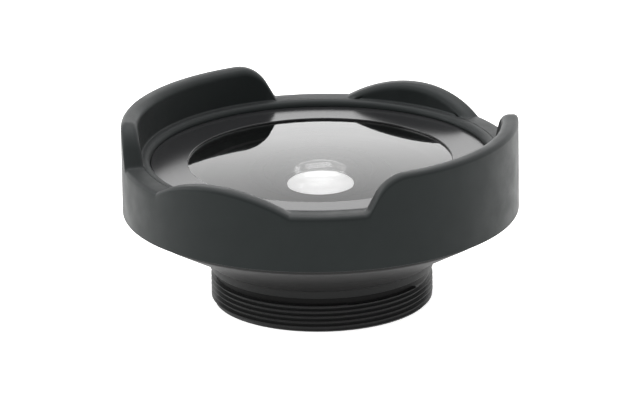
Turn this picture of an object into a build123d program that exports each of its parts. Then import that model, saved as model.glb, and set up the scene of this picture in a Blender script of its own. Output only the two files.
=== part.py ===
from build123d import *
from math import cos, degrees, radians, sin, sqrt, tan
import os

# A screw-on wide-angle conversion lens with a petal hood. Lengths are in millimetres and angles in
# degrees. The optical axis is Z, the origin is the centre of the rear face, and +Z is the front. The
# short petals stand at +X and -X and the long ones at +Y and -Y.

# Camera thread, and the ring that carries it
thread_diameter = 42.0
thread_length = 5.3
thread_lead_in = 0.6
relief_depth = 0.75
relief_height = 1.5
collar_step = 0.25
collar_height = 1.5
mount_ring_wall = 3.0

# Grub screws that lock the thread ring
lock_screw_count = 3
lock_screw_diameter = 1.2
lock_screw_sink = 0.3
lock_screw_hex = 0.6
lock_screw_hex_depth = 0.5

# Barrel: a cone that opens to a flange, and a land that the hood turns on
cone_lip = 0.2
cone_height = 8.2
flange_step = 1.2
flange_height = 1.2
flange_edge = 0.35
rim_wall = 1.7
rim_cover = 1.05
rim_edge = 0.4

# Petal hood
hood_diameter = 75.0
hood_wall = 3.7
hood_edge = 0.5
hood_bore_edge = 0.4
hood_clearance = 0.1
hood_lip_thickness = 1.2
hood_lip_gap = 0.2
hood_lip_edge = 0.8
hood_lip_drop = 0.05
long_petal_height = 6.9
long_petal_half_angle = 44.3
long_petal_flank_slope = 60.0
long_petal_corner_radius = 7.0
long_petal_foot_radius = 1.1
short_petal_height = 3.9
short_petal_half_angle = 23.0
petal_lean = 4.0
petal_outer_edge = 0.6
petal_inner_edge = 0.9

# Blanks of the hood's rim, which are thicker than its wall and are trimmed to it
rim_blank_margin = 0.8
rim_blank_depth = 2.0
rim_blank_sections = 8

# Rubber ring in the barrel that grips the hood
grip_ring_width = 2.0
grip_ring_depth = 0.9
grip_ring_gap = 0.05
grip_ring_height = 4.2

# Front bezel, the ring that shows around the glass
bezel_width = 6.95
bezel_fall = 0.45
bezel_lip_width = 1.0
bezel_lip_thickness = 0.25

# Hidden ring that holds the front element
front_retainer_width = 3.5
front_retainer_thickness = 1.6
front_cushion_thickness = 0.2
spanner_slot_width = 1.5
spanner_slot_depth = 0.8

# Front element, nearly flat in front and deeply hollow behind
front_glass_cover = 0.2
front_glass_step_width = 1.3
front_glass_step_depth = 2.7
front_glass_front_radius = 400.0
front_glass_rear_radius = 16.0
front_glass_centre = 2.6
front_glass_edge = 12.05
front_seal_width = 1.2
front_seal_height = 1.1
front_seal_squeeze = 0.2

# Black insert between the elements
baffle_ledge = 1.05
baffle_height = 1.9
baffle_steps = 3
baffle_wall = 1.9
baffle_step_depth = 0.45
flare_stop_width = 3.4
flare_stop_thickness = 0.3

# Cell that carries the cemented pair behind
cell_step = 1.7
cell_thread_height = 3.6
cell_rear_setback = 0.5
cell_mouth_wall = 1.75
rear_seal_thickness = 0.3

# Cemented pair
pair_wall = 3.75
pair_seat_width = 1.5
pair_front_radius = 55.0
pair_cement_radius = 45.0
pair_front_centre = 4.6
pair_rear_centre = 1.6
pair_cushion_thickness = 0.15
pair_retainer_thread = 1.35
pair_retainer_cover = 0.2
pair_retainer_thickness = 1.3
pair_retainer_recess = 1.75

# Clearances
assembly_clearance = 0.05
contact_gap = 0.02

# Heights along the axis, from the rear face to the front
thread_top = thread_length
collar_bottom = thread_top + relief_height
collar_top = collar_bottom + collar_height
cone_top = collar_top + cone_height
flange_top = cone_top + flange_height
cell_thread_bottom = collar_top + rear_seal_thickness
cell_top = cell_thread_bottom + cell_thread_height
baffle_bottom = cell_top + flare_stop_thickness
baffle_top = baffle_bottom + baffle_height
glass_seat = baffle_top + front_seal_squeeze
glass_rear = glass_seat + front_seal_squeeze
glass_front = glass_rear + front_glass_edge
step_land = glass_front - front_glass_step_depth
retainer_bottom = step_land + front_cushion_thickness
retainer_top = retainer_bottom + front_retainer_thickness
bezel_bottom = retainer_top + 2 * assembly_clearance
bezel_lip_bottom = glass_front + assembly_clearance
bezel_lip_top = bezel_lip_bottom + bezel_lip_thickness
bezel_top = bezel_lip_top + bezel_fall
rim_top = bezel_bottom + rim_cover
hood_bottom = flange_top + hood_clearance
hood_lip_bottom = rim_top + hood_clearance
notch_top = hood_lip_bottom + hood_lip_thickness

# Radii from the hood in to the front glass
hood_radius = hood_diameter / 2
hood_bore = hood_radius - hood_wall
land_radius = hood_bore - hood_clearance
flange_radius = land_radius + flange_step
rim_bore = land_radius - rim_wall
bezel_radius = rim_bore - assembly_clearance
hood_lip_bore = bezel_radius + hood_lip_gap
bezel_opening = bezel_radius - bezel_width
step_radius = bezel_opening + front_glass_cover
glass_radius = step_radius + front_glass_step_width
glass_bore = glass_radius + 2 * assembly_clearance
retainer_radius = glass_radius + front_retainer_width
retainer_bore = retainer_radius + assembly_clearance

# Radii from the camera thread in to the cemented pair
thread_radius = thread_diameter / 2
relief_radius = thread_radius - relief_depth
collar_radius = thread_radius + collar_step
cell_neck_radius = relief_radius - mount_ring_wall
cell_thread_radius = cell_neck_radius + cell_step
cell_bore = cell_thread_radius + assembly_clearance
cell_mouth_radius = cell_neck_radius - cell_mouth_wall
baffle_radius = cell_thread_radius - baffle_ledge
baffle_bore = baffle_radius + 2 * assembly_clearance
pair_radius = cell_neck_radius - pair_wall
pair_bore = pair_radius + assembly_clearance
pair_clear = pair_radius - pair_seat_width
pair_retainer_radius = pair_radius + pair_retainer_thread
pair_retainer_opening = pair_clear - pair_retainer_cover
front_seal_radius = (baffle_bore + glass_bore) / 2

# Reaches of the long petal's profile from its middle, measured along the outside of the wall
long_petal_reach = hood_radius * radians(long_petal_half_angle)
long_petal_corner = long_petal_reach - long_petal_height / tan(radians(long_petal_flank_slope))
long_petal_flat_reach = (long_petal_corner
                         - long_petal_corner_radius * tan(radians(long_petal_flank_slope / 2)))
long_petal_round_reach = (long_petal_flat_reach
                          + long_petal_corner_radius * sin(radians(long_petal_flank_slope)))
long_petal_foot_tangent = long_petal_foot_radius * tan(radians(long_petal_flank_slope / 2))
long_petal_foot_start = long_petal_reach - long_petal_foot_tangent * cos(radians(long_petal_flank_slope))
long_petal_foot_end = long_petal_reach + long_petal_foot_tangent

# Heights in the rear cell
pair_retainer_bottom = cell_rear_setback + pair_retainer_recess
pair_retainer_top = pair_retainer_bottom + pair_retainer_thickness
pair_rear = pair_retainer_top + pair_cushion_thickness
cement_vertex = pair_rear + pair_rear_centre
pair_front = cement_vertex + pair_front_centre


def sag(radius, reach):
    """How far a sphere falls away from its crown at a distance from the axis."""
    return radius - sqrt(radius**2 - reach**2)


def turned(points):
    """A solid of revolution about Z from a closed outline of (radius, height) corners."""
    return revolve(make_face(Plane.XZ * Polyline(*points, close=True)), Axis.Z)


def ring(inner, outer, bottom, top):
    """A plain ring of rectangular section."""
    return turned([(inner, bottom), (outer, bottom), (outer, top), (inner, top)])


def domed(radius, crown, sphere_radius):
    """An outline edge of a spherical face, from the axis out, that falls away below its crown."""
    middle = radius / 2
    return ThreePointArc(
        (0, crown),
        (middle, crown - sag(sphere_radius, middle)),
        (radius, crown - sag(sphere_radius, radius)),
    )


def turned_about_axis(*lines):
    """A solid of revolution from the joined lines of a half outline that ends on the axis."""
    edges = [edge for line in lines for edge in line.edges()]
    return revolve(Plane.XZ * make_face(edges), Axis.Z)


def spanner_slots(reach, height):
    """A bar that cuts two slots across the face of a ring, for a pin spanner."""
    return Pos(0, 0, height) * Box(2 * reach, spanner_slot_width, 2 * spanner_slot_depth)


def long_petal_rise(angle):
    """Height of a long petal above the notches: flat top, round corners, steep flanks, round feet."""
    along = hood_radius * radians(abs(angle))
    if along <= long_petal_flat_reach:
        return long_petal_height
    if along < long_petal_round_reach:
        return long_petal_height - sag(long_petal_corner_radius, along - long_petal_flat_reach)
    if along < long_petal_foot_start:
        return (long_petal_reach - along) * tan(radians(long_petal_flank_slope))
    if along < long_petal_foot_end:
        return sag(long_petal_foot_radius, long_petal_foot_end - along)
    return 0


def short_petal_rise(angle):
    """Height of a short petal above the notches: one arc of a circle on the unrolled wall."""
    half_width = hood_radius * radians(short_petal_half_angle)
    arc_radius = (half_width**2 + short_petal_height**2) / (2 * short_petal_height)
    return short_petal_height - sag(arc_radius, hood_radius * radians(abs(angle)))


def rim_stretch(rise, start, end):
    """A blank of the rim between two angles. Its top is radial lines with a chamfer at each side."""
    inner, outer = hood_bore - rim_blank_margin, hood_radius + rim_blank_margin
    root = notch_top - 2 * rim_blank_depth
    outer_corner = hood_radius - petal_outer_edge
    sections = []
    for index in range(rim_blank_sections + 1):
        angle = start + (end - start) * index / rim_blank_sections
        outward = Vector(cos(radians(angle)), sin(radians(angle)), 0)
        radial_plane = Plane(origin=(0, 0, 0), x_dir=outward, z_dir=outward.cross(Vector(0, 0, 1)))
        top = notch_top + rise(angle)
        inner_corner = hood_bore + rise(angle) * tan(radians(petal_lean)) + petal_inner_edge
        sections.append(radial_plane * make_face(Polyline(
            (inner, root), (outer, root), (outer, top - (outer - outer_corner)), (outer_corner, top),
            (inner_corner, top), (inner, top - (inner_corner - inner)), close=True)))
    return loft(sections)


def half_rim():
    """The blanks of a long petal, the notch at each side of it and one short petal."""
    reaches = (long_petal_flat_reach, long_petal_round_reach, long_petal_foot_start, long_petal_foot_end)
    marks = [degrees(reach / hood_radius) for reach in reaches] + [90 - short_petal_half_angle]
    angles = [-mark for mark in reversed(marks)] + marks
    stretches = [Rot(0, 0, 90) * rim_stretch(long_petal_rise, start, end)
                 for start, end in zip(angles, angles[1:])]
    return stretches + [rim_stretch(short_petal_rise, -short_petal_half_angle, short_petal_half_angle)]


def petal_hood():
    """The hood: a ring that slips over the barrel, with two long petals and two short ones."""
    mask_rise = long_petal_height + rim_blank_margin
    skirt = ring(hood_bore - 2 * rim_blank_margin, hood_radius + 2 * rim_blank_margin,
                 hood_bottom - rim_blank_margin, notch_top - rim_blank_depth)
    stretches = half_rim()
    blank = skirt + stretches + [Rot(0, 0, 180) * stretch for stretch in stretches]
    wall = turned([
        (hood_bore + hood_bore_edge, hood_bottom),
        (hood_radius - hood_edge, hood_bottom),
        (hood_radius, hood_bottom + hood_edge),
        (hood_radius, notch_top + mask_rise),
        (hood_bore + mask_rise * tan(radians(petal_lean)), notch_top + mask_rise),
        (hood_bore, notch_top),
        (hood_bore, hood_bottom + hood_bore_edge),
    ])
    return (blank & wall) + hood_lip()


def hood_lip():
    """The hood's inward lip, which covers the barrel's rim and reaches into the hood's wall."""
    lip_top = notch_top - hood_lip_drop
    anchor = (hood_bore + hood_radius) / 2
    shoulder = hood_lip_edge * (1 - cos(radians(45)))
    return turned([
        (hood_lip_bore, hood_lip_bottom),
        (anchor, hood_lip_bottom),
        (anchor, lip_top),
        (hood_lip_bore + hood_lip_edge, lip_top),
        (hood_lip_bore + shoulder, lip_top - shoulder),
        (hood_lip_bore, lip_top - hood_lip_edge),
    ])


def hood_grip_ring():
    """The rubber band in the barrel's groove. It bears on the hood's bore."""
    bottom = flange_top + grip_ring_height
    return ring(land_radius - grip_ring_depth, hood_bore - grip_ring_gap,
                bottom, bottom + grip_ring_width)


def front_barrel():
    """The main shell: cone, flange, hood land and rim outside, and stepped bores inside."""
    groove_bottom = flange_top + grip_ring_height - assembly_clearance
    groove_top = groove_bottom + grip_ring_width + 2 * assembly_clearance
    groove_floor = land_radius - grip_ring_depth - assembly_clearance
    seal_groove_half = front_seal_width / 2 + assembly_clearance
    seal_floor = glass_rear - front_seal_height
    shell = turned([
        (cell_bore, collar_top),
        (collar_radius + cone_lip, collar_top),
        (flange_radius - flange_edge, cone_top - flange_edge),
        (flange_radius, cone_top),
        (flange_radius, flange_top - flange_edge),
        (flange_radius - flange_edge, flange_top),
        (land_radius, flange_top),
        (land_radius, groove_bottom),
        (groove_floor, groove_bottom),
        (groove_floor, groove_top),
        (land_radius, groove_top),
        (land_radius, rim_top - rim_edge / 2),
        (land_radius - rim_edge / 2, rim_top),
        (rim_bore + rim_edge, rim_top),
        (rim_bore, rim_top - rim_edge),
        (rim_bore, bezel_bottom),
        (retainer_bore, bezel_bottom),
        (retainer_bore, step_land),
        (glass_bore, step_land),
        (glass_bore, glass_seat),
        (front_seal_radius + seal_groove_half, glass_seat),
        (front_seal_radius + seal_groove_half, seal_floor),
        (front_seal_radius - seal_groove_half, seal_floor),
        (front_seal_radius - seal_groove_half, glass_seat),
        (baffle_bore, glass_seat),
        (baffle_bore, cell_top + contact_gap),
        (cell_bore, cell_top + contact_gap),
    ])
    return shell


def front_bezel():
    """The bare satin ring around the glass. Its top falls slightly towards the glass."""
    return turned([
        (bezel_opening, bezel_lip_bottom),
        (bezel_opening + bezel_lip_width, bezel_lip_bottom),
        (bezel_opening + bezel_lip_width, bezel_bottom),
        (bezel_radius, bezel_bottom),
        (bezel_radius, bezel_top),
        (bezel_opening, bezel_lip_top),
    ])


def front_retaining_ring():
    """The threaded ring under the bezel that presses on the step of the front element."""
    plain = ring(step_radius + 2 * assembly_clearance, retainer_radius,
                 retainer_bottom, retainer_top)
    return plain - spanner_slots(retainer_radius, retainer_top)


def front_cushion_ring():
    """The thin plastic washer between the retaining ring and the glass."""
    return ring(step_radius + 2 * assembly_clearance, glass_radius, step_land, retainer_bottom)


def front_element():
    """The large negative lens: a shallow front face, a step for its ring and a deep hollow."""
    hollow_crown = glass_front + front_crown_rise() - front_glass_centre
    hollow_depth = hollow_crown - glass_rear
    hollow_reach = sqrt(front_glass_rear_radius**2 - (front_glass_rear_radius - hollow_depth) ** 2)
    return turned_about_axis(
        domed(step_radius, glass_front + front_crown_rise(), front_glass_front_radius),
        Polyline((step_radius, glass_front), (step_radius, step_land), (glass_radius, step_land),
                 (glass_radius, glass_rear), (hollow_reach, glass_rear)),
        domed(hollow_reach, hollow_crown, front_glass_rear_radius),
        Line((0, hollow_crown), (0, glass_front + front_crown_rise())),
    )


def front_crown_rise():
    """How far the middle of the front element stands above its edge."""
    return sag(front_glass_front_radius, step_radius)


def front_seal_ring():
    """The square rubber ring that the front element sits on."""
    return ring(front_seal_radius - front_seal_width / 2, front_seal_radius + front_seal_width / 2,
                glass_rear - front_seal_height, glass_rear)


def light_baffle():
    """The black stepped insert whose ledges catch stray light."""
    rise = baffle_height / baffle_steps
    corners = [(baffle_radius, baffle_bottom), (baffle_radius, baffle_top)]
    for step in range(baffle_steps):
        top = baffle_top - step * rise
        inner = baffle_radius - baffle_wall - step * baffle_step_depth
        corners += [(inner, top), (inner, top - rise)]
    return turned(corners)


def flare_stop():
    """The thin washer under the insert. Its hole limits the light to the rear pair."""
    return ring(baffle_radius - flare_stop_width, baffle_radius, cell_top, baffle_bottom)


def rear_cell():
    """The tube that screws into the barrel and carries the cemented pair."""
    seat_height = pair_front - sag(pair_front_radius, pair_clear) + contact_gap
    mouth = pair_retainer_radius + assembly_clearance
    return turned([
        (mouth, cell_rear_setback),
        (cell_neck_radius, cell_rear_setback),
        (cell_neck_radius, cell_thread_bottom),
        (cell_thread_radius, cell_thread_bottom),
        (cell_thread_radius, cell_top),
        (cell_mouth_radius, cell_top),
        (pair_clear, seat_height + pair_seat_width),
        (pair_clear, seat_height),
        (pair_bore, seat_height),
        (pair_bore, pair_retainer_top),
        (mouth, pair_retainer_top),
    ])


def doublet_front_element():
    """The front lens of the cemented pair, convex on both faces."""
    front_edge = pair_front - sag(pair_front_radius, pair_radius)
    cement_edge = cement_vertex + sag(pair_cement_radius, pair_radius)
    return turned_about_axis(
        domed(pair_radius, pair_front, pair_front_radius),
        Line((pair_radius, front_edge), (pair_radius, cement_edge)),
        cement_face(),
        Line((0, cement_vertex), (0, pair_front)),
    )


def cement_face():
    """The outline edge of the face that the pair shares. It bulges to the rear."""
    middle = pair_radius / 2
    return ThreePointArc(
        (0, cement_vertex),
        (middle, cement_vertex + sag(pair_cement_radius, middle)),
        (pair_radius, cement_vertex + sag(pair_cement_radius, pair_radius)),
    )


def doublet_rear_element():
    """The rear lens of the cemented pair, hollow in front and flat behind."""
    cement_edge = cement_vertex + sag(pair_cement_radius, pair_radius)
    return turned_about_axis(
        cement_face(),
        Polyline((pair_radius, cement_edge), (pair_radius, pair_rear), (0, pair_rear),
                 (0, cement_vertex)),
    )


def doublet_cushion_ring():
    """The thin washer between the cemented pair and its retaining ring."""
    return ring(pair_retainer_opening, pair_radius, pair_retainer_top, pair_rear)


def doublet_retaining_ring():
    """The threaded ring that holds the cemented pair from behind, with slots to turn it."""
    plain = ring(pair_retainer_opening, pair_retainer_radius, pair_retainer_bottom, pair_retainer_top)
    return plain - spanner_slots(pair_retainer_radius, pair_retainer_bottom)


def rear_seal_ring():
    """The flat rubber washer between the cell's step and the thread ring."""
    return ring(cell_neck_radius + assembly_clearance, cell_thread_radius,
                collar_top, cell_thread_bottom)


def lock_screw_places():
    """Where the grub screws stand: in the relief groove, each turned to point at the axis."""
    height = thread_top + relief_height / 2
    return [Pos(0, 0, height) * Rot(0, 0, 360 * index / lock_screw_count) * Rot(0, 90, 0)
            for index in range(lock_screw_count)]


def rear_mount_ring():
    """The ring with the male camera thread, a relief groove and the collar it seats by."""
    bore = cell_neck_radius + assembly_clearance
    body = turned([
        (bore, 0),
        (thread_radius - thread_lead_in, 0),
        (thread_radius, thread_lead_in),
        (thread_radius, thread_top),
        (relief_radius, thread_top),
        (relief_radius, collar_bottom),
        (collar_radius, collar_bottom),
        (collar_radius, collar_top),
        (bore, collar_top),
    ])
    hole = Cylinder(lock_screw_diameter / 2 + contact_gap, thread_radius,
                    align=(Align.CENTER, Align.CENTER, Align.MIN))
    return body - [place * hole for place in lock_screw_places()]


def mount_lock_screws():
    """The grub screws that lock the thread ring on the cell, as one group."""
    start = cell_neck_radius + contact_gap
    length = relief_radius - lock_screw_sink - start
    shank = Pos(0, 0, start) * Cylinder(lock_screw_diameter / 2, length,
                                        align=(Align.CENTER, Align.CENTER, Align.MIN))
    socket = Pos(0, 0, start + length - lock_screw_hex_depth) * extrude(
        RegularPolygon(lock_screw_hex / 2, 6, major_radius=False), lock_screw_hex_depth)
    return [place * (shank - socket) for place in lock_screw_places()]


pieces = {
    "petal_hood": petal_hood(),
    "hood_grip_ring": hood_grip_ring(),
    "front_barrel": front_barrel(),
    "front_bezel": front_bezel(),
    "front_retaining_ring": front_retaining_ring(),
    "front_cushion_ring": front_cushion_ring(),
    "front_element": front_element(),
    "front_seal_ring": front_seal_ring(),
    "light_baffle": light_baffle(),
    "flare_stop": flare_stop(),
    "rear_cell": rear_cell(),
    "doublet_front_element": doublet_front_element(),
    "doublet_rear_element": doublet_rear_element(),
    "doublet_cushion_ring": doublet_cushion_ring(),
    "doublet_retaining_ring": doublet_retaining_ring(),
    "rear_seal_ring": rear_seal_ring(),
    "rear_mount_ring": rear_mount_ring(),
    "mount_lock_screws": Compound(mount_lock_screws()),
}

os.makedirs("parts", exist_ok=True)
for name, piece in pieces.items():
    piece.label = name
    export_step(piece, f"parts/{name}.step")
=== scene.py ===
import bmesh
import bpy
from math import asin, atan2, cos, pi, radians, sin, sqrt, tan
from mathutils import Matrix, Vector


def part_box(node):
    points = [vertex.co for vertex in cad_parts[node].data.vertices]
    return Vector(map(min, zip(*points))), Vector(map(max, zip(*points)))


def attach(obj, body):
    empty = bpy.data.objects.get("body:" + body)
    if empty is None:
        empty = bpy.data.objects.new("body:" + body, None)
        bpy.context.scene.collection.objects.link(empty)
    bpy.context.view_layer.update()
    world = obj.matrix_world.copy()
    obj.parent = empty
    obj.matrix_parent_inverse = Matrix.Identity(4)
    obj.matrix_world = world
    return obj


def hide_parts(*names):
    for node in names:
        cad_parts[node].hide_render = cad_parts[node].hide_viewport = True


bl_info = {
    "name": "Wide-angle lens with a petal hood",
    "version": (1, 0, 0),
    "blender": (4, 5, 0),
    "location": "View3D > Sidebar > Lens",
    "description": "Builds the visible pieces of a screw-on wide-angle lens around its packed frame",
    "category": "Object",
}

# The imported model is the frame. Its lengths are in metres, and the outlines below are in millimetres.
MM = 0.001
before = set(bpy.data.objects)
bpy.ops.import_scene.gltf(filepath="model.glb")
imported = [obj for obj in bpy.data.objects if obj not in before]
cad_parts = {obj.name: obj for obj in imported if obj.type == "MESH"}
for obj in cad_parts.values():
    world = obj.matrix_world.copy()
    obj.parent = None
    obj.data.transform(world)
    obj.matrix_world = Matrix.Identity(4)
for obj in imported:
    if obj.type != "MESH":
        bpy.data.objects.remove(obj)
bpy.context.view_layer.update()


def node_radius(node):
    """Outside radius of a node, in millimetres."""
    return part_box(node)[1].x / MM


def node_bottom(node):
    """Height of a node's lowest point, in millimetres."""
    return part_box(node)[0].z / MM


def node_top(node):
    """Height of a node's highest point, in millimetres."""
    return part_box(node)[1].z / MM


# Fits and other small sizes of the construction, in millimetres
FIT = 0.05
THIN_GAP = 0.02
SEAL_RISE = 0.2
SEAL_WIDTH = 1.2
SEAL_HEIGHT = 1.1
GRIP_DEPTH = 0.9
THREAD_LEAD = 0.6

# Heights that the frame gives, in millimetres
COLLAR_TOP = node_bottom("front_barrel")
RIM_TOP = node_top("front_barrel")
HOOD_BOTTOM = node_bottom("petal_hood")
HOOD_TOP = node_top("petal_hood")
BEZEL_FOOT = node_top("front_retaining_ring") + 2 * FIT
BEZEL_TOP = node_top("front_bezel")
CUSHION_BOTTOM = node_bottom("front_cushion_ring")
GLASS_REAR = node_bottom("front_element")
GLASS_CROWN = node_top("front_element")
BAFFLE_BOTTOM = node_bottom("light_baffle")
BAFFLE_TOP = node_top("light_baffle")
CELL_BOTTOM = node_bottom("rear_cell")
CELL_TOP = node_top("rear_cell")
CELL_THREAD_BOTTOM = node_top("rear_seal_ring")
PAIR_REAR = node_bottom("doublet_rear_element")
PAIR_CEMENT = node_bottom("doublet_front_element")
PAIR_FRONT = node_top("doublet_front_element")
PAIR_RING_TOP = node_top("doublet_retaining_ring")

# Radii that the frame gives, in millimetres
HOOD_RADIUS = node_radius("petal_hood")
FLANGE_RADIUS = node_radius("front_barrel")
BEZEL_RADIUS = node_radius("front_bezel")
RETAINER_RADIUS = node_radius("front_retaining_ring")
GLASS_RADIUS = node_radius("front_element")
BAFFLE_RADIUS = node_radius("light_baffle")
CELL_THREAD_RADIUS = node_radius("rear_cell")
PAIR_RADIUS = node_radius("doublet_front_element")
PAIR_RING_RADIUS = node_radius("doublet_retaining_ring")
COLLAR_RADIUS = node_radius("rear_mount_ring")
SEAL_OUTER_RADIUS = node_radius("front_seal_ring")
THREAD_CREST = COLLAR_RADIUS - 0.25
RELIEF_RADIUS = THREAD_CREST - 0.75

# How finely the shapes are made
TURN_STEPS = 288
HOOD_STEPS = 1080
THREAD_STEPS = 360
FRONT_ARC_STEPS = 24
HOLLOW_ARC_STEPS = 72
PAIR_ARC_STEPS = 32
ROUND_SEGMENTS = 4
SHARP_ANGLE = radians(32)
MERGE_DISTANCE = 0.0002 * MM


class LensHoodSizes(bpy.types.PropertyGroup):
    """Sizes of the petal hood."""

    wall: bpy.props.FloatProperty(
        name="Wall", description="Thickness of the hood's wall", default=3.7 * MM, unit="LENGTH")
    notch_height: bpy.props.FloatProperty(
        name="Notch height", description="Height of the rim between the petals, above the hood's foot",
        default=10.6 * MM, unit="LENGTH")
    lip_thickness: bpy.props.FloatProperty(
        name="Lip thickness", description="Thickness of the inward lip that covers the barrel's rim",
        default=1.2 * MM, unit="LENGTH")
    lip_gap: bpy.props.FloatProperty(
        name="Lip gap", description="Gap between the lip and the bezel", default=0.12 * MM, unit="LENGTH")
    lip_round: bpy.props.FloatProperty(
        name="Lip rounding", description="Radius of the lip's upper edge", default=1.1 * MM, unit="LENGTH")
    lean: bpy.props.FloatProperty(
        name="Petal lean", description="Outward lean of the petals' inner faces",
        default=radians(4), subtype="ANGLE")
    outer_round: bpy.props.FloatProperty(
        name="Outer rounding", description="Radius of the petals' outer top edge",
        default=0.9 * MM, unit="LENGTH")
    inner_round: bpy.props.FloatProperty(
        name="Inner rounding", description="Radius of the petals' inner top edge",
        default=1.35 * MM, unit="LENGTH")
    inner_foot_round: bpy.props.FloatProperty(
        name="Inner foot rounding", description="Radius where a petal's inner face meets the lip",
        default=0.35 * MM, unit="LENGTH")
    long_half_angle: bpy.props.FloatProperty(
        name="Long petal half angle", description="Reach of a long petal to each side of its middle",
        default=radians(44.3), subtype="ANGLE")
    flank_slope: bpy.props.FloatProperty(
        name="Flank slope", description="Slope of the long petals' flanks on the unrolled wall",
        default=radians(60), subtype="ANGLE")
    corner_radius: bpy.props.FloatProperty(
        name="Corner radius", description="Radius of the long petals' upper corners",
        default=7 * MM, unit="LENGTH")
    foot_radius: bpy.props.FloatProperty(
        name="Foot radius", description="Radius where a long petal's flank meets the notch",
        default=1.1 * MM, unit="LENGTH")
    short_height: bpy.props.FloatProperty(
        name="Short petal height", description="Height of the short petals above the notches",
        default=3.9 * MM, unit="LENGTH")
    short_half_angle: bpy.props.FloatProperty(
        name="Short petal half angle", description="Reach of a short petal to each side of its middle",
        default=radians(23), subtype="ANGLE")


class LensBarrelSizes(bpy.types.PropertyGroup):
    """Sizes of the barrel and its bezel."""

    cone_height: bpy.props.FloatProperty(
        name="Cone height", description="Height of the cone between the collar and the flange",
        default=8.2 * MM, unit="LENGTH")
    cone_bend: bpy.props.FloatProperty(
        name="Cone bend", description="How far the cone's face bends upwards near the collar",
        default=0.5 * MM, unit="LENGTH")
    flange_height: bpy.props.FloatProperty(
        name="Flange height", description="Thickness of the flange under the hood",
        default=1.2 * MM, unit="LENGTH")
    rim_wall: bpy.props.FloatProperty(
        name="Rim wall", description="Thickness of the barrel's rim inside the hood",
        default=1.7 * MM, unit="LENGTH")
    bezel_width: bpy.props.FloatProperty(
        name="Bezel width", description="Width of the bezel around the glass",
        default=6.95 * MM, unit="LENGTH")
    bezel_fall: bpy.props.FloatProperty(
        name="Bezel fall", description="How far the bezel's face falls towards the glass",
        default=0.36 * MM, unit="LENGTH")
    bezel_lip: bpy.props.FloatProperty(
        name="Bezel lip", description="Thickness of the bezel at its opening",
        default=0.34 * MM, unit="LENGTH")
    bezel_dip: bpy.props.FloatProperty(
        name="Bezel dip", description="How far the bezel's outer edge lies below its packed top",
        default=0.35 * MM, unit="LENGTH")


class LensGlassSizes(bpy.types.PropertyGroup):
    """Sizes and refraction of the glass elements."""

    front_curve: bpy.props.FloatProperty(
        name="Front curve", description="Radius of the front element's outer face",
        default=400 * MM, unit="LENGTH")
    hollow_curve: bpy.props.FloatProperty(
        name="Hollow curve", description="Radius of the front element's hollow",
        default=16 * MM, unit="LENGTH")
    front_centre: bpy.props.FloatProperty(
        name="Front centre", description="Thickness of the front element on the axis",
        default=2.6 * MM, unit="LENGTH")
    pair_curve: bpy.props.FloatProperty(
        name="Pair curve", description="Radius of the rear pair's front face",
        default=55 * MM, unit="LENGTH")
    cement_curve: bpy.props.FloatProperty(
        name="Cement curve", description="Radius of the face that the pair shares",
        default=45 * MM, unit="LENGTH")
    front_ior: bpy.props.FloatProperty(
        name="Front refraction", description="Refractive index of the front element", default=1.77)
    pair_ior: bpy.props.FloatProperty(
        name="Pair refraction", description="Refractive index of the cemented pair", default=1.62)


class LensThreadSizes(bpy.types.PropertyGroup):
    """Sizes of the camera thread."""

    pitch: bpy.props.FloatProperty(
        name="Pitch", description="Rise of the camera thread in one turn", default=1.0 * MM, unit="LENGTH")
    length: bpy.props.FloatProperty(
        name="Length", description="Length of the camera thread", default=5.3 * MM, unit="LENGTH")
    depth: bpy.props.FloatProperty(
        name="Depth", description="Depth of the camera thread", default=0.613 * MM, unit="LENGTH")
    phase: bpy.props.FloatProperty(
        name="Phase", description="Height of the first crest at +X", default=0.55 * MM, unit="LENGTH")


class LensColours(bpy.types.PropertyGroup):
    """Base colours of the finishes."""

    hood: bpy.props.FloatVectorProperty(
        name="Hood", description="Matt moulded hood", subtype="COLOR", size=4,
        default=(0.0058, 0.0072, 0.0072, 1))
    anodised: bpy.props.FloatVectorProperty(
        name="Anodised", description="Satin black anodised metal", subtype="COLOR", size=4,
        default=(0.0095, 0.0095, 0.0095, 1))
    inner_black: bpy.props.FloatVectorProperty(
        name="Inner black", description="Flat black of the inner pieces", subtype="COLOR", size=4,
        default=(0.006, 0.006, 0.006, 1))
    table: bpy.props.FloatVectorProperty(
        name="Table", description="Pale floor", subtype="COLOR", size=4, default=(0.85, 0.85, 0.84, 1))


class LensView(bpy.types.PropertyGroup):
    """Where the camera stands."""

    azimuth: bpy.props.FloatProperty(
        name="Azimuth", description="Turn of the camera about the axis, from -Y",
        default=radians(-58), subtype="ANGLE")
    elevation: bpy.props.FloatProperty(
        name="Elevation", description="Height of the camera above the pivot",
        default=radians(18.526), subtype="ANGLE")
    distance: bpy.props.FloatProperty(
        name="Distance", description="Distance of the camera from the pivot",
        default=1229.84 * MM, unit="LENGTH")
    pivot_height: bpy.props.FloatProperty(
        name="Pivot height", description="Height of the point that elevation is measured from",
        default=26.6 * MM, unit="LENGTH")
    aim_height: bpy.props.FloatProperty(
        name="Aim height", description="Height on the axis that the camera looks at",
        default=19.1 * MM, unit="LENGTH")
    aim_side: bpy.props.FloatProperty(
        name="Aim side", description="How far the camera looks past the axis, to its left",
        default=0.15 * MM, unit="LENGTH")
    roll: bpy.props.FloatProperty(
        name="Roll", description="Turn of the camera about its own line of sight",
        default=radians(-0.885), subtype="ANGLE")
    focal_length: bpy.props.FloatProperty(
        name="Focal length", description="Lens of the camera, in millimetres", default=366.5)


SETTINGS = (
    ("lens_hood", LensHoodSizes),
    ("lens_barrel", LensBarrelSizes),
    ("lens_glass", LensGlassSizes),
    ("lens_thread", LensThreadSizes),
    ("lens_colours", LensColours),
    ("lens_view", LensView),
)


# Node helpers for the finishes and for the light around the lens


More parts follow.
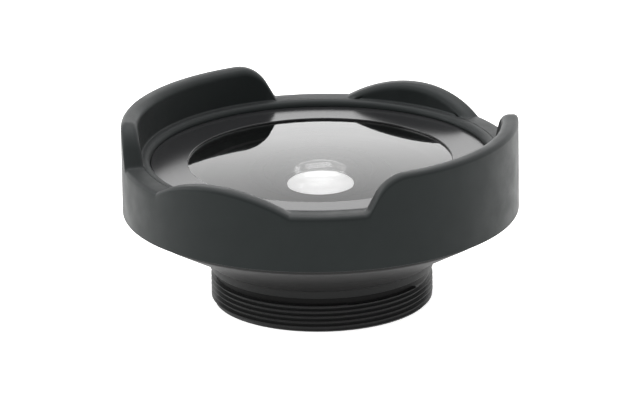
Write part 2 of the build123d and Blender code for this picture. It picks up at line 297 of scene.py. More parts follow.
def add_node(owner, kind, inputs=None, **settings):
    """A new node of a material or a world, with its settings and its inputs.

    An input, given by its name or number, gets a plain value or another node's output.
    """
    node = owner.node_tree.nodes.new(kind)
    for key, value in settings.items():
        setattr(node, key, value)
    for key, value in (inputs or {}).items():
        if isinstance(value, bpy.types.NodeSocket):
            owner.node_tree.links.new(value, node.inputs[key])
        else:
            node.inputs[key].default_value = value
    return node


def new_material(name):
    """An empty material and the place on the piece, in metres in its own frame, as (material, place)."""
    material = bpy.data.materials.new(name)
    material.use_nodes = True
    material.node_tree.nodes.clear()
    return material, add_node(material, "ShaderNodeTexCoord").outputs["Object"]


def shaded(material, inputs):
    """Gives a material its shader with these inputs. Returns the material."""
    shader = add_node(material, "ShaderNodeBsdfPrincipled", inputs)
    add_node(material, "ShaderNodeOutputMaterial", {"Surface": shader.outputs["BSDF"]})
    return material


def turned_place(material, place):
    """A place's reach and height, the same all the way round the axis, for marks left by turning."""
    parts = add_node(material, "ShaderNodeSeparateXYZ", {0: place})
    flat = add_node(material, "ShaderNodeVectorMath", {0: place, 1: (1, 1, 0)}, operation="MULTIPLY")
    reach = add_node(material, "ShaderNodeVectorMath", {0: flat.outputs[0]}, operation="LENGTH")
    joined = add_node(material, "ShaderNodeCombineXYZ",
                      {"X": reach.outputs["Value"], "Z": parts.outputs["Z"]})
    return joined.outputs[0]


def noise(material, place, scale, detail, roughness=0.5):
    """A noise value between 0 and 1 at a place."""
    return add_node(material, "ShaderNodeTexNoise", {
        "Vector": place, "Scale": scale, "Detail": detail, "Roughness": roughness}).outputs["Fac"]


def spread(owner, value, low, high, start=0.0, end=1.0, curve="LINEAR"):
    """Maps a value from start..end to low..high, and keeps it there."""
    return add_node(owner, "ShaderNodeMapRange", {
        "Value": value, "From Min": start, "From Max": end, "To Min": low, "To Max": high,
    }, interpolation_type=curve).outputs["Result"]


def blend_colour(material, share, first, second):
    """A colour between two colours, or colour outputs, by a share."""
    return add_node(material, "ShaderNodeMix", {"Factor": share, "A": first, "B": second},
                    data_type="RGBA").outputs["Result"]


def bump(material, height, depth, strength):
    """A normal that is tilted by a height value. The depth is in millimetres."""
    return add_node(material, "ShaderNodeBump", {
        "Height": height, "Distance": depth * MM, "Strength": strength}).outputs["Normal"]


def specks(material, place, scale, size, share):
    """A mask of a few small round specks, one in some of the cells of a grid."""
    cells = add_node(material, "ShaderNodeTexVoronoi", {"Vector": place, "Scale": scale})
    drawn = add_node(material, "ShaderNodeSeparateColor", {"Color": cells.outputs["Color"]})
    surely_drawn = share * 0.98
    solid_core = size * 0.6
    few = spread(material, drawn.outputs["Red"], 0, 1, share, surely_drawn)
    near = spread(material, cells.outputs["Distance"], 1, 0, solid_core, size)
    return add_node(material, "ShaderNodeMath", {0: few, 1: near}, operation="MULTIPLY").outputs[0]


def tinted(colour, factor):
    """A colour made darker or lighter."""
    return [channel * factor for channel in colour]


def plain_finish(name, dark, pale, patches, roughness, wear, relief=None, others=None):
    """A finish whose colour and roughness both wander between two values.

    Patches and wear are the scale and detail of the noise that each follows. Relief is the scale and detail
    of a fine bump, then its depth and strength. Others are further inputs of the shader.
    """
    material, place = new_material(name)
    inputs = {
        "Base Color": blend_colour(material, noise(material, place, *patches), dark, pale),
        "Roughness": spread(material, noise(material, place, *wear), *roughness),
    }
    if relief:
        scale, detail, depth, strength = relief
        inputs["Normal"] = bump(material, noise(material, place, scale, detail), depth, strength)
    return shaded(material, {**inputs, **(others or {})})


def turned_finish(name, dark, pale, patch_scale, mark_scale, roughness, gloss, depth, strength):
    """A satin anodised finish with faint marks from turning. Depth and strength are those of its bump."""
    material, place = new_material(name)
    marks = noise(material, turned_place(material, place), mark_scale, 2)
    return shaded(material, {
        "Base Color": blend_colour(material, noise(material, place, patch_scale, 3), dark, pale),
        "Roughness": spread(material, marks, *roughness, 0.25, 0.75),
        "Specular IOR Level": gloss,
        "Normal": bump(material, marks, depth, strength),
    })


def hood_finish():
    """Matt moulded black with a fine grain, top faces painted paler as light from above, and a little dust.
    """
    material, place = new_material("hood_matt_black")
    colour = bpy.context.scene.lens_colours.hood
    top_light_colour = (0.026, 0.0275, 0.028, 1)
    dust_colour = (0.16, 0.17, 0.165, 1)
    patches = noise(material, place, 90, 3)
    base = blend_colour(material, patches, tinted(colour, 0.88), tinted(colour, 1.12))
    normal = add_node(material, "ShaderNodeNewGeometry").outputs["Normal"]
    upwards = add_node(material, "ShaderNodeSeparateXYZ", {0: normal}).outputs["Z"]
    # Faces that point upwards are painted paler: painted light from above on the tops.
    base = blend_colour(material, spread(material, upwards, 0, 1, 0.35, 0.95), base, top_light_colour)
    dust = specks(material, place, scale=160, size=0.035, share=0.02)
    base = blend_colour(material, dust, base, dust_colour)
    return shaded(material, {
        "Base Color": base,
        "Roughness": spread(material, noise(material, place, 260, 4), 0.4, 0.5, 0.3, 0.7),
        "Specular IOR Level": 0.17,
        "Specular Tint": (0.92, 1, 1, 1),
        "Normal": bump(material, noise(material, place, 5200, 3, 0.6), 0.03, 0.35),
    })


def anodised_finish():
    """Satin black anodised metal of the barrel."""
    colour = bpy.context.scene.lens_colours.anodised
    return turned_finish("satin_anodised", tinted(colour, 0.9), tinted(colour, 1.1), patch_scale=120,
                         mark_scale=5200, roughness=(0.42, 0.5), gloss=0.2, depth=0.012, strength=0.3)


def bezel_finish():
    """Smooth satin anodised face of the bezel, finely turned."""
    return turned_finish("bezel_anodised", (0.015, 0.015, 0.016, 1), (0.019, 0.019, 0.02, 1),
                         patch_scale=150, mark_scale=6500, roughness=(0.16, 0.21), gloss=0.62,
                         depth=0.006, strength=0.25)


def inner_black_finish():
    """Flat black paint that keeps light from wandering inside."""
    colour = bpy.context.scene.lens_colours.inner_black
    return plain_finish("inner_flat_black", tinted(colour, 0.7), tinted(colour, 1.4), patches=(700, 3),
                        roughness=(0.6, 0.8), wear=(900, 3), relief=(4200, 3, 0.02, 0.4),
                        others={"Specular IOR Level": 0.2})


def thread_finish():
    """Black anodised thread with dark crests, greyer roots, and a relief groove painted near-black as
    shade.
    """
    material, place = new_material("thread_anodised")
    flat = turned_place(material, place)
    reach = add_node(material, "ShaderNodeSeparateXYZ", {0: flat}).outputs["X"]
    crest = THREAD_CREST * MM
    raised = spread(material, reach, 0, 1, crest - 0.73 * MM, crest - 0.63 * MM)
    on_crest = spread(material, reach, 0, 1, crest - 0.55 * MM, crest - 0.05 * MM)
    groove_shade_colour = (0.004, 0.004, 0.004, 1)
    root_colour = (0.02, 0.0205, 0.0205, 1)
    crest_colour = (0.007, 0.0073, 0.0073, 1)
    ridges = blend_colour(material, on_crest, root_colour, crest_colour)
    return shaded(material, {
        # Nearer the axis than the thread's roots, in the relief groove, colour and gloss are painted dark:
        # painted shade in the recess.
        "Base Color": blend_colour(material, raised, groove_shade_colour, ridges),
        "Roughness": spread(material, noise(material, place, 900, 3), 0.36, 0.46),
        "Specular IOR Level": spread(material, raised, 0.07, 0.16),
        "Normal": bump(material, noise(material, place, 5200, 2), 0.008, 0.3),
    })


def steel_finish():
    """Blackened steel of the grub screws."""
    return plain_finish("black_oxide_steel", (0.05, 0.05, 0.055, 1), (0.08, 0.08, 0.085, 1),
                        patches=(2200, 2), roughness=(0.3, 0.45), wear=(3000, 2), others={"Metallic": 0.8})


def rubber_finish():
    """Dull black rubber of the seals and the grip ring."""
    return plain_finish("seal_rubber", (0.012, 0.012, 0.012, 1), (0.02, 0.02, 0.02, 1), patches=(1500, 3),
                        roughness=(0.7, 0.85), wear=(1300, 2), relief=(4000, 3, 0.02, 0.4))


def washer_finish():
    """Dark plastic of the thin washers."""
    return plain_finish("washer_plastic", (0.03, 0.03, 0.03, 1), (0.045, 0.045, 0.045, 1), patches=(900, 2),
                        roughness=(0.5, 0.6), wear=(700, 2))


def glass_edge_finish():
    """Black paint on the ground edges of a lens."""
    return plain_finish("glass_edge_paint", (0.004, 0.004, 0.004, 1), (0.009, 0.009, 0.009, 1),
                        patches=(1200, 3), roughness=(0.55, 0.7), wear=(800, 2),
                        others={"Specular IOR Level": 0.2})


def glass_finish(name, refraction):
    """Clear optical glass with a faint haze of dust on it."""
    material, place = new_material(name)
    dust = specks(material, place, scale=420, size=0.03, share=0.012)
    return shaded(material, {
        "Base Color": blend_colour(material, dust, (1, 1, 1, 1), (0.75, 0.75, 0.75, 1)),
        "Transmission Weight": 1,
        "IOR": refraction,
        "Roughness": spread(material, dust, 0.0, 0.3),
    })


finishes = {}


def shared_finish(make):
    """A finish that several pieces share, made once."""
    if make.__name__ not in finishes:
        finishes[make.__name__] = make()
    return finishes[make.__name__]


# Mesh helpers


def round_corners(bm, verts, rounding, segments):
    """Rounds corners of an outline, as far along its edges as the rounding, in millimetres."""
    bmesh.ops.bevel(bm, geom=verts, offset=rounding * MM, offset_type="OFFSET", segments=segments,
                    profile=0.5, affect="VERTICES", material=-1)


def closed_outline(bm, corners):
    """A closed outline in the XZ plane from corners of (radius, height, rounding), in millimetres."""
    verts = [bm.verts.new((radius * MM, 0, height * MM)) for radius, height, rounding in corners]
    bm.faces.new(verts)
    by_rounding = {}
    for vert, (radius, height, rounding) in zip(verts, corners):
        if rounding:
            by_rounding.setdefault(rounding, []).append(vert)
    for rounding, group in by_rounding.items():
        round_corners(bm, group, rounding, ROUND_SEGMENTS)
    bmesh.ops.delete(bm, geom=bm.faces[:], context="FACES_ONLY")


def full_turn(bm, steps, climb=0.0):
    """Spins everything once about the axis, climbing by a height at each step if it makes a helix."""
    bmesh.ops.spin(bm, geom=bm.verts[:] + bm.edges[:], cent=(0, 0, 0), axis=(0, 0, 1),
                   dvec=(0, 0, climb), angle=2 * pi, steps=steps, use_merge=not climb)


def turn(bm, steps=TURN_STEPS):
    """Makes a closed shell from an outline, with its seam and its poles closed."""
    full_turn(bm, steps)
    bmesh.ops.remove_doubles(bm, verts=bm.verts[:], dist=MERGE_DISTANCE)
    bmesh.ops.recalc_face_normals(bm, faces=bm.faces[:])


def arc(bm, vert, centre_height, angle, steps):
    """Draws an arc in the XZ plane from a vertex, about a centre on the axis. Returns its last vertex."""
    made = bmesh.ops.spin(bm, geom=[vert], cent=(0, 0, centre_height * MM), axis=(0, 1, 0),
                          dvec=(0, 0, 0), angle=angle, steps=steps)
    return next(item for item in made["geom_last"] if isinstance(item, bmesh.types.BMVert))


def lines_to(bm, vert, points):
    """Draws straight edges from a vertex through points of (radius, height). Returns the new vertices."""
    ends = []
    for radius, height in points:
        end = bm.verts.new((radius * MM, 0, height * MM))
        bm.edges.new((vert, end))
        ends.append(end)
        vert = end
    return ends


def reach_of(point):
    """Distance of a point from the axis, in millimetres."""
    return Vector((point.x, point.y)).length / MM


def sag(radius, reach):
    """How far a sphere falls away from its crown at a distance from the axis."""
    return radius - sqrt(radius * radius - reach * reach)


def finish_piece(bm, name, body, materials, nodes, sharp_angle=SHARP_ANGLE):
    """Makes the object of a piece, shades it and puts it on its body in the place of its nodes."""
    for face in bm.faces:
        face.smooth = True
    for edge in bm.edges:
        if len(edge.link_faces) == 2:
            edge.smooth = edge.calc_face_angle(0) < sharp_angle
    mesh = bpy.data.meshes.new(name)
    bm.to_mesh(mesh)
    bm.free()
    piece = bpy.data.objects.new(name, mesh)
    bpy.context.scene.collection.objects.link(piece)
    for material in materials:
        mesh.materials.append(material)
    weighted = piece.modifiers.new("Weighted normals", "WEIGHTED_NORMAL")
    weighted.keep_sharp = True
    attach(piece, body)
    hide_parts(*nodes)


def turned_piece(name, finish, nodes, corners):
    """Turns a closed outline and puts the piece on the barrel's body in the place of its nodes."""
    bm = bmesh.new()
    closed_outline(bm, corners)
    turn(bm)
    finish_piece(bm, name, "barrel", [shared_finish(finish)], nodes)


# Pieces


def petal_profile(hood):
    """The height of the hood's rim above the notches as a function of the angle from +X."""
    radius = HOOD_RADIUS
    long_height = HOOD_TOP - HOOD_BOTTOM - hood.notch_height / MM
    slope = hood.flank_slope
    reach = radius * hood.long_half_angle
    corner_radius = hood.corner_radius / MM
    foot_radius = hood.foot_radius / MM
    flat_reach = reach - long_height / tan(slope) - corner_radius * tan(slope / 2)
    round_reach = flat_reach + corner_radius * sin(slope)
    foot_tangent = foot_radius * tan(slope / 2)
    foot_start = reach - foot_tangent * cos(slope)
    foot_end = reach + foot_tangent
    short_height = hood.short_height / MM
    short_reach = radius * hood.short_half_angle
    short_radius = (short_reach**2 + short_height**2) / (2 * short_height)

    def rise(angle):
        from_short = abs((angle + pi / 2) % pi - pi / 2) * radius
        from_long = abs(angle % pi - pi / 2) * radius
        if from_short < short_reach:
            return short_height - sag(short_radius, from_short)
        if from_long <= flat_reach:
            return long_height
        if from_long < round_reach:
            return long_height - sag(corner_radius, from_long - flat_reach)
        if from_long < foot_start:
            return (reach - from_long) * tan(slope)
        if from_long < foot_end:
            return sag(foot_radius, foot_end - from_long)
        return 0

    return rise


class LENS_OT_petal_hood(bpy.types.Operator):
    """Build the matt black hood with two long and two short petals"""

    bl_idname = "lens.petal_hood"
    bl_label = "Petal hood"

    def execute(self, context):
        hood = context.scene.lens_hood
        bore = HOOD_RADIUS - hood.wall / MM
        notch_top = HOOD_BOTTOM + hood.notch_height / MM
        # A ring of corners below the notches keeps the wall under it plain
        plain_top = notch_top - 2
        lip_bore = BEZEL_RADIUS + hood.lip_gap / MM
        lip_bottom = notch_top - hood.lip_thickness / MM
        crown_bore = bore + (HOOD_TOP - notch_top) * tan(hood.lean)
        bm = bmesh.new()
        closed_outline(bm, [
            (bore, HOOD_BOTTOM, 0.4),
            (HOOD_RADIUS, HOOD_BOTTOM, 0.15),
            (HOOD_RADIUS, plain_top, 0),
            (HOOD_RADIUS, HOOD_TOP, hood.outer_round / MM),
            (crown_bore, HOOD_TOP, hood.inner_round / MM),
            (bore, notch_top, hood.inner_foot_round / MM),
            (lip_bore, notch_top, hood.lip_round / MM),
            (lip_bore, lip_bottom, 0.05),
            (bore, lip_bottom, 0),
        ])
        turn(bm, HOOD_STEPS)
        self.shape_petals(bm, hood, notch_top, (crown_bore + HOOD_RADIUS) / 2)
        finish_piece(bm, "petal_hood_moulding", "hood", [shared_finish(hood_finish)],
                     ["petal_hood"])
        return {"FINISHED"}

    def shape_petals(self, bm, hood, notch_top, middle):
        """Lowers the full-height rim to the petals' profile and lays its inner side on the notches."""
        rise = petal_profile(hood)
        full = HOOD_TOP - notch_top
        crown_depth = hood.inner_round / MM
        tolerance = 0.001
        for vert in bm.verts:
            offset = vert.co.z / MM - notch_top
            if offset < tolerance:
                continue
            reach = reach_of(vert.co)
            height = rise(atan2(vert.co.y, vert.co.x))
            fall = full - height
            if reach > middle:
                vert.co.z -= fall * MM
            elif offset > full / 2:
                shrink = 1 - fall * tan(hood.lean) / reach
                vert.co.x *= shrink
                vert.co.y *= shrink
                vert.co.z = (notch_top + max(0, offset - fall)) * MM
            else:
                vert.co.z = (notch_top + min(offset, max(0, height - crown_depth))) * MM


class LENS_OT_front_barrel(bpy.types.Operator):
    """Build the barrel: cone, flange, hood land, rim and stepped bores"""

    bl_idname = "lens.front_barrel"
    bl_label = "Front barrel"

    def execute(self, context):
        sizes = context.scene.lens_barrel
        cone_top = COLLAR_TOP + sizes.cone_height / MM
        flange_top = cone_top + sizes.flange_height / MM
        flange_slant = 0.3
        cone_foot = COLLAR_RADIUS + 0.2
        cone_end = FLANGE_RADIUS - flange_slant
        cone_end_height = cone_top - flange_slant
        bend_share = 0.27
        bend_round = 1.8
        bend_radius = cone_foot + bend_share * (cone_end - cone_foot)
        bend_height = COLLAR_TOP + bend_share * (cone_end_height - COLLAR_TOP) + sizes.cone_bend / MM
        land = HOOD_RADIUS - context.scene.lens_hood.wall / MM - 2 * FIT
        rim_bore = land - sizes.rim_wall / MM
        grip_bottom = node_bottom("hood_grip_ring") - FIT
        grip_top = node_top("hood_grip_ring") + FIT
        grip_floor = land - GRIP_DEPTH - FIT
        retainer_bore = RETAINER_RADIUS + FIT
        glass_bore = GLASS_RADIUS + 2 * FIT
        glass_seat = GLASS_REAR - SEAL_RISE
        groove_floor = node_top("front_seal_ring") - SEAL_HEIGHT
        seal_outer = SEAL_OUTER_RADIUS + FIT
        seal_inner = SEAL_OUTER_RADIUS - SEAL_WIDTH - FIT
        baffle_bore = BAFFLE_RADIUS + 2 * FIT
        baffle_seat = CELL_TOP + THIN_GAP
        cell_bore = CELL_THREAD_RADIUS + FIT
        turned_piece("front_barrel_shell", anodised_finish, ["front_barrel"], [
            (cell_bore, COLLAR_TOP, 0),
            (cone_foot, COLLAR_TOP, 0.12),
            (bend_radius, bend_height, bend_round),
            (cone_end, cone_end_height, 0.2),
            (FLANGE_RADIUS, cone_top, 0.2),
            (FLANGE_RADIUS, flange_top, 0.3),
            (land, flange_top, 0),
            (land, grip_bottom, 0.06),
            (grip_floor, grip_bottom, 0),
            (grip_floor, grip_top, 0),
            (land, grip_top, 0.06),
            (land, RIM_TOP, 0.2),
            (rim_bore, RIM_TOP, 0.35),
            (rim_bore, BEZEL_FOOT, 0),
            (retainer_bore, BEZEL_FOOT, 0),
            (retainer_bore, CUSHION_BOTTOM, 0),
            (glass_bore, CUSHION_BOTTOM, 0),
            (glass_bore, glass_seat, 0),
            (seal_outer, glass_seat, 0),
            (seal_outer, groove_floor, 0),
            (seal_inner, groove_floor, 0),
            (seal_inner, glass_seat, 0),
            (baffle_bore, glass_seat, 0.1),
            (baffle_bore, baffle_seat, 0),
            (cell_bore, baffle_seat, 0),
        ])
        return {"FINISHED"}


class LENS_OT_front_bezel(bpy.types.Operator):
    """Build the bare satin ring around the glass"""

    bl_idname = "lens.front_bezel"
    bl_label = "Front bezel"

    def execute(self, context):
        sizes = context.scene.lens_barrel
        opening = BEZEL_RADIUS - sizes.bezel_width / MM
        lip_root = opening + 1.0
        lip_top = BEZEL_TOP - sizes.bezel_fall / MM
        lip_bottom = lip_top - sizes.bezel_lip / MM
        turned_piece("front_bezel_ring", bezel_finish, ["front_bezel"], [
            (opening, lip_bottom, 0.03),
            (lip_root, lip_bottom, 0),
            (lip_root, BEZEL_FOOT, 0),
            (BEZEL_RADIUS, BEZEL_FOOT, 0.1),
            (BEZEL_RADIUS, BEZEL_TOP - sizes.bezel_dip / MM, 0.1),
            (opening, lip_top, 0.06),
        ])
        return {"FINISHED"}


class LENS_OT_front_glass(bpy.types.Operator):
    """Build the large front element with its shallow face, step and deep hollow"""

    bl_idname = "lens.front_glass"
    bl_label = "Front element"

    def execute(self, context):
        sizes = context.scene.lens_glass
        front_curve = sizes.front_curve / MM
        hollow_curve = sizes.hollow_curve / MM
        step_radius = GLASS_RADIUS - 1.3
        ground_edge = 0.18
        front_edge = GLASS_CROWN - sag(front_curve, step_radius)
        front_angle = asin((step_radius - ground_edge) / front_curve)
        hollow_crown = GLASS_CROWN - sizes.front_centre / MM
        hollow_depth = hollow_crown - GLASS_REAR
        hollow_angle = asin(sqrt(hollow_curve**2 - (hollow_curve - hollow_depth) ** 2) / hollow_curve)
        bm = bmesh.new()
        vert = bm.verts.new((0, 0, GLASS_CROWN * MM))
        vert = arc(bm, vert, GLASS_CROWN - front_curve, front_angle, FRONT_ARC_STEPS)
        rear_edge = lines_to(bm, vert, [
            (step_radius, front_edge - ground_edge),
            (step_radius, CUSHION_BOTTOM),
            (GLASS_RADIUS, CUSHION_BOTTOM),
            (GLASS_RADIUS, GLASS_REAR),
        ])[-1]
        hollow_start = bm.verts.new((0, 0, hollow_crown * MM))
        hollow_centre = hollow_crown - hollow_curve
        hollow_end = arc(bm, hollow_start, hollow_centre, hollow_angle, HOLLOW_ARC_STEPS)
        bm.edges.new((rear_edge, hollow_end))
        turn(bm)
        self.paint_edges(bm, front_edge, step_radius, ground_edge, hollow_curve)
        glass = glass_finish("front_glass_clear", sizes.front_ior)
        finish_piece(bm, "front_glass_element", "barrel",
                     [glass, shared_finish(glass_edge_finish)], ["front_element"])
        return {"FINISHED"}

    def paint_edges(self, bm, front_edge, step_radius, ground_edge, hollow_curve):
        """Gives paint to all faces but the front and the hollow."""
        painted_radius = step_radius - ground_edge / 2
        clear_height = front_edge - ground_edge / 2
        crown_reach = 0.5
        flat = 0.9999
        for face in bm.faces:
            centre = face.calc_center_median()
            reach = reach_of(centre)
            in_front = centre.z / MM > clear_height and reach < painted_radius
            in_hollow = reach < hollow_curve and -flat < face.normal.z < 0
            near_crown = reach < crown_reach
            face.material_index = 0 if in_front or in_hollow or near_crown else 1


class LENS_OT_inner_blacks(bpy.types.Operator):
    """Build the stepped insert, the flare stop and the rear cell"""

    bl_idname = "lens.inner_blacks"
    bl_label = "Inner black pieces"

    def execute(self, context):
        self.build_baffle()
        self.build_flare_stop()
        self.build_cell(context.scene.lens_glass)
        return {"FINISHED"}

    def build_baffle(self):
        """The insert whose ledges catch stray light."""
        ledges = 3
        top_ledge = 1.9
        ledge_step = 0.45
        rise = (BAFFLE_TOP - BAFFLE_BOTTOM) / ledges
        corners = [(BAFFLE_RADIUS, BAFFLE_BOTTOM, 0.1), (BAFFLE_RADIUS, BAFFLE_TOP, 0.1)]
        for step in range(ledges):
            top = BAFFLE_TOP - step * rise
            inner = BAFFLE_RADIUS - top_ledge - step * ledge_step
            corners += [(inner, top, 0.05), (inner, top - rise, 0)]
        turned_piece("light_baffle_insert", inner_black_finish, ["light_baffle"], corners)

    def build_flare_stop(self):
        """The thin washer under the insert."""
        opening = BAFFLE_RADIUS - 3.4
        turned_piece("flare_stop_washer", inner_black_finish, ["flare_stop"], [
            (opening, CELL_TOP, 0.04),
            (BAFFLE_RADIUS, CELL_TOP, 0),
            (BAFFLE_RADIUS, BAFFLE_BOTTOM, 0),
            (opening, BAFFLE_BOTTOM, 0.04),
        ])

    def build_cell(self, glass):
        """The tube that carries the cemented pair."""
        neck = CELL_THREAD_RADIUS - 1.7
        flare = neck - 1.75
        seat_width = 1.5
        clear = PAIR_RADIUS - seat_width
        seat = PAIR_FRONT - sag(glass.pair_curve / MM, clear) + THIN_GAP
        pair_bore = PAIR_RADIUS + FIT
        mouth = PAIR_RING_RADIUS + FIT
        turned_piece("rear_cell_tube", inner_black_finish, ["rear_cell"], [
            (mouth, CELL_BOTTOM, 0.2),
            (neck, CELL_BOTTOM, 0.2),
            (neck, CELL_THREAD_BOTTOM, 0),
            (CELL_THREAD_RADIUS, CELL_THREAD_BOTTOM, 0.15),
            (CELL_THREAD_RADIUS, CELL_TOP, 0.15),
            (flare, CELL_TOP, 0.08),
            (clear, seat + seat_width, 0),
            (clear, seat, 0.05),
            (pair_bore, seat, 0),
            (pair_bore, PAIR_RING_TOP, 0),
            (mouth, PAIR_RING_TOP, 0),
        ])


class LENS_OT_rear_pair(bpy.types.Operator):
    """Build the two lenses of the cemented pair"""

    bl_idname = "lens.rear_pair"
    bl_label = "Rear pair"

    def execute(self, context):
        sizes = context.scene.lens_glass
        pair_curve = sizes.pair_curve / MM
        cement_curve = sizes.cement_curve / MM
        cement_film = 0.004
        glass = glass_finish("pair_glass_clear", sizes.pair_ior)

        bm = bmesh.new()
        front_start = bm.verts.new((0, 0, PAIR_FRONT * MM))
        pair_angle = asin(PAIR_RADIUS / pair_curve)
        front_end = arc(bm, front_start, PAIR_FRONT - pair_curve, pair_angle, PAIR_ARC_STEPS)
        rear_end = self.cement_face(bm, PAIR_CEMENT + cement_film, cement_curve)
        bm.edges.new((front_end, rear_end))
        self.close_lens(bm, "pair_front_lens", glass, ["doublet_front_element"])

        bm = bmesh.new()
        front_end = self.cement_face(bm, PAIR_CEMENT, cement_curve)
        lines_to(bm, front_end, [(PAIR_RADIUS, PAIR_REAR), (0, PAIR_REAR)])
        self.close_lens(bm, "pair_rear_lens", glass, ["doublet_rear_element"])
        return {"FINISHED"}

    def cement_face(self, bm, crown, curve):
        """Draws the hollow face that both lenses share. Returns its outer vertex."""
        start = bm.verts.new((0, 0, crown * MM))
        return arc(bm, start, crown + curve, -asin(PAIR_RADIUS / curve), PAIR_ARC_STEPS)

    def close_lens(self, bm, name, glass, nodes):
        """Turns a lens, gives its cylindrical edge its paint and puts it in its place."""
        turn(bm)
        steep = 0.1
        for face in bm.faces:
            face.material_index = 1 if abs(face.normal.z) < steep else 0
        finish_piece(bm, name, "barrel", [glass, shared_finish(glass_edge_finish)], nodes)


class LENS_OT_thread_ring(bpy.types.Operator):
    """Build the ring with the male camera thread, relief groove and collar"""

    bl_idname = "lens.thread_ring"
    bl_label = "Thread ring"

    def execute(self, context):
        sizes = context.scene.lens_thread
        top = sizes.length / MM
        bm = self.build_thread(sizes, top)
        collar = self.build_collar(top)
        joined = bpy.data.meshes.new("joined")
        collar.to_mesh(joined)
        collar.free()
        bm.from_mesh(joined)
        bpy.data.meshes.remove(joined)
        seam = 0.003 * MM
        sliver = 0.002 * MM
        bmesh.ops.remove_doubles(bm, verts=bm.verts[:], dist=seam)
        bmesh.ops.dissolve_degenerate(bm, edges=bm.edges[:], dist=sliver)
        bmesh.ops.recalc_face_normals(bm, faces=bm.faces[:])
        finish_piece(bm, "thread_ring_m42", "barrel", [shared_finish(thread_finish)],
                     ["rear_mount_ring"], sharp_angle=radians(25))
        return {"FINISHED"}

    def build_thread(self, sizes, top):
        """The helix, spun once from a section of several crests, and cut off at both ends."""
        pitch = sizes.pitch / MM
        root = THREAD_CREST - sizes.depth / MM
        # One pitch of the section, as shares of the pitch and radii
        section = [(0.0, THREAD_CREST), (0.125, THREAD_CREST), (0.4375, root), (0.6875, root)]
        spare_turns = 4
        start = sizes.phase / MM - 2 * pitch
        points = [(radius, start + index * pitch + share * pitch)
                  for index in range(int(top / pitch) + spare_turns) for share, radius in section]
        bm = bmesh.new()
        first = bm.verts.new((THREAD_CREST * MM, 0, start * MM))
        lines_to(bm, first, points[1:])
        full_turn(bm, THREAD_STEPS, climb=pitch / THREAD_STEPS * MM)
        for vert in bm.verts:
            self.trim_thread(vert, top)
        return bm

    def trim_thread(self, vert, top):
        """Cuts the helix off flat at both ends and chamfers its start."""
        direction = Vector((vert.co.x, vert.co.y)).normalized()
        reach = reach_of(vert.co)
        height = vert.co.z / MM
        if height >= top:
            height, reach = top, RELIEF_RADIUS
        elif height <= 0:
            height, reach = 0, THREAD_CREST - THREAD_LEAD
        else:
            reach = min(reach, THREAD_CREST - THREAD_LEAD + height)
        vert.co = (direction.x * reach * MM, direction.y * reach * MM, height * MM)

    def build_collar(self, top):
        """The relief groove, the collar, the bore and the rear face, up to the thread's two ends."""
        collar_bottom = COLLAR_TOP - 1.5
        bore = RELIEF_RADIUS - 3.0 + FIT
        bm = bmesh.new()
        first = bm.verts.new((RELIEF_RADIUS * MM, 0, top * MM))
        corners = lines_to(bm, first, [
            (RELIEF_RADIUS, collar_bottom),
            (COLLAR_RADIUS, collar_bottom),
            (COLLAR_RADIUS, COLLAR_TOP),
            (bore, COLLAR_TOP),
            (bore, 0),
            (THREAD_CREST - THREAD_LEAD, 0),
        ])
        round_corners(bm, corners[1:4], 0.15, 3)
        full_turn(bm, THREAD_STEPS)
        return bm


class LENS_OT_kept_rings(bpy.types.Operator):
    """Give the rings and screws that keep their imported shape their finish"""

    bl_idname = "lens.kept_rings"
    bl_label = "Kept rings and screws"

    def execute(self, context):
        finish_of = {
            "hood_grip_ring": rubber_finish,
            "front_retaining_ring": inner_black_finish,
            "front_cushion_ring": washer_finish,
            "front_seal_ring": rubber_finish,
            "doublet_cushion_ring": washer_finish,
            "doublet_retaining_ring": anodised_finish,
            "rear_seal_ring": rubber_finish,
            "mount_lock_screws": steel_finish,
        }
        for node, make in finish_of.items():
            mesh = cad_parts[node].data
            mesh.materials.clear()
            mesh.materials.append(shared_finish(make))
        return {"FINISHED"}


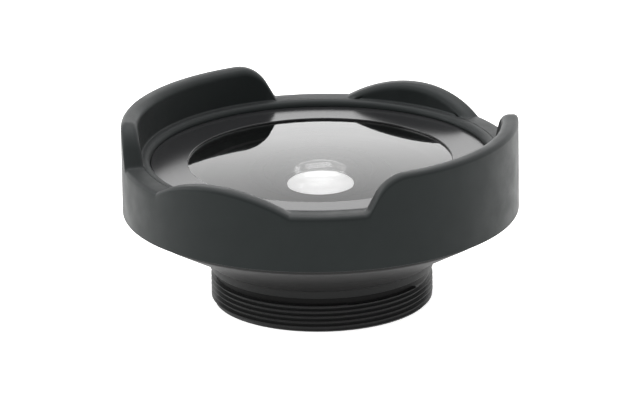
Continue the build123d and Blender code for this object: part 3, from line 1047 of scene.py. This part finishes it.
class LENS_OT_studio(bpy.types.Operator):
    """Set up the pale floor, the soft light and the camera"""

    bl_idname = "lens.studio"
    bl_label = "Studio"

    def execute(self, context):
        self.build_floor(context)
        self.build_surroundings(context)
        self.build_softboxes(context)
        self.build_camera(context)
        context.scene.view_settings.view_transform = "Standard"
        return {"FINISHED"}

    def build_floor(self, context):
        """A wide pale table top, just below the lens, that glows softly as a lit table does."""
        bm = bmesh.new()
        bmesh.ops.create_grid(bm, x_segments=4, y_segments=4, size=3.0)
        bmesh.ops.translate(bm, verts=bm.verts[:], vec=(0, 0, -THIN_GAP * MM))
        mesh = bpy.data.meshes.new("floor")
        bm.to_mesh(mesh)
        bm.free()
        floor = bpy.data.objects.new("floor", mesh)
        context.scene.collection.objects.link(floor)
        material, place = new_material("pale_table")
        colour = context.scene.lens_colours.table
        clouds = noise(material, place, 6, 2)
        mesh.materials.append(shaded(material, {
            "Base Color": blend_colour(material, clouds, tinted(colour, 0.985), colour),
            "Roughness": 0.7,
            "Emission Color": (1, 1, 1, 1),
            "Emission Strength": 0.76,
        }))

    def build_surroundings(self, context):
        """A bright sweep behind the lens that fades upwards, and one even light on all other sides."""
        low, bright = radians(15), 2.9
        high, dim = radians(35.5), 0.15
        even = 1.5
        sweep_turn = radians(12)
        world = bpy.data.worlds.new("studio")
        context.scene.world = world
        world.use_nodes = True
        world.node_tree.nodes.clear()
        direction = add_node(world, "ShaderNodeTexCoord").outputs["Generated"]
        height = add_node(world, "ShaderNodeSeparateXYZ", {0: direction}).outputs["Z"]
        elevation = add_node(world, "ShaderNodeMath", {0: height}, operation="ARCSINE").outputs[0]
        sweep = spread(world, elevation, bright, dim, low, high)
        away = context.scene.lens_view.azimuth + pi / 2 + sweep_turn
        behind = add_node(world, "ShaderNodeVectorMath", {0: direction, 1: (cos(away), sin(away), 0)},
                          operation="DOT_PRODUCT").outputs["Value"]
        share = spread(world, behind, 0, 1, 0.05, 0.85, "SMOOTHSTEP")
        strength = add_node(world, "ShaderNodeMix", {"Factor": share, "A": even, "B": sweep})
        background = add_node(world, "ShaderNodeBackground", {"Strength": strength.outputs["Result"]})
        add_node(world, "ShaderNodeOutputWorld", {"Surface": background.outputs[0]})

    def build_softboxes(self, context):
        """Three soft lamps: one at each side, and one above the lens and slightly behind it."""
        # Name, turn to the right and height in degrees, distance, width and height in metres, and radiance
        boxes = (
            ("softbox_left", -85, 25, 0.9, 0.5, 0.5, 3.0),
            ("softbox_right", 85, 25, 0.9, 0.5, 0.5, 0.6),
            ("softbox_top", -10, 66, 0.9, 1.0, 0.6, 2.4),
        )
        away = context.scene.lens_view.azimuth + pi / 2
        for name, side, rise, distance, width, height, radiance in boxes:
            lamp = bpy.data.lights.new(name, "AREA")
            lamp.shape = "RECTANGLE"
            lamp.size = width
            lamp.size_y = height
            lamp.energy = radiance * width * height * pi
            stand = bpy.data.objects.new(name, lamp)
            context.scene.collection.objects.link(stand)
            heading = away - radians(side)
            direction = Vector((cos(heading) * cos(radians(rise)), sin(heading) * cos(radians(rise)),
                                sin(radians(rise))))
            stand.location = direction * distance
            stand.rotation_euler = direction.to_track_quat("Z", "Y").to_euler()

    def build_camera(self, context):
        """The camera, where the photograph was taken from."""
        view = context.scene.lens_view
        upwards = Vector((0, 0, 1))
        forward = Vector((-sin(view.azimuth), cos(view.azimuth), 0))
        place = (Vector((0, 0, view.pivot_height)) - forward * view.distance * cos(view.elevation)
                 + Vector((0, 0, view.distance * sin(view.elevation))))
        past_axis = forward.cross(upwards) * view.aim_side
        sight = (Vector((0, 0, view.aim_height)) - past_axis - place).normalized()
        level = sight.cross(upwards).normalized()
        upright = level.cross(sight)
        right = level * cos(view.roll) + upright * sin(view.roll)
        up = upright * cos(view.roll) - level * sin(view.roll)
        lens = bpy.data.cameras.new("camera")
        lens.lens = view.focal_length
        lens.sensor_width = 36
        lens.clip_start = 0.01
        camera = bpy.data.objects.new("camera", lens)
        context.scene.collection.objects.link(camera)
        rotation = Matrix((right, up, -sight)).transposed().to_4x4()
        camera.matrix_world = Matrix.Translation(place) @ rotation
        context.scene.camera = camera


class LENS_PT_panel(bpy.types.Panel):
    """Lists the steps that build the lens."""

    bl_label = "Wide-angle lens"
    bl_idname = "LENS_PT_panel"
    bl_space_type = "VIEW_3D"
    bl_region_type = "UI"
    bl_category = "Lens"

    def draw(self, context):
        for operator in OPERATORS:
            self.layout.operator(operator.bl_idname)


OPERATORS = (
    LENS_OT_petal_hood,
    LENS_OT_front_barrel,
    LENS_OT_front_bezel,
    LENS_OT_front_glass,
    LENS_OT_inner_blacks,
    LENS_OT_rear_pair,
    LENS_OT_thread_ring,
    LENS_OT_kept_rings,
    LENS_OT_studio,
)


def register():
    """Registers the settings, the operators and the panel."""
    for name, group in SETTINGS:
        bpy.utils.register_class(group)
        setattr(bpy.types.Scene, name, bpy.props.PointerProperty(type=group))
    for operator in OPERATORS:
        bpy.utils.register_class(operator)
    bpy.utils.register_class(LENS_PT_panel)


def unregister():
    """Takes the panel, the operators and the settings away again."""
    bpy.utils.unregister_class(LENS_PT_panel)
    for operator in reversed(OPERATORS):
        bpy.utils.unregister_class(operator)
    for name, group in reversed(SETTINGS):
        delattr(bpy.types.Scene, name)
        bpy.utils.unregister_class(group)


def main():
    """Builds everything."""
    register()
    for operator in OPERATORS:
        group, name = operator.bl_idname.split(".")
        getattr(getattr(bpy.ops, group), name)()


if __name__ == "__main__":
    main()
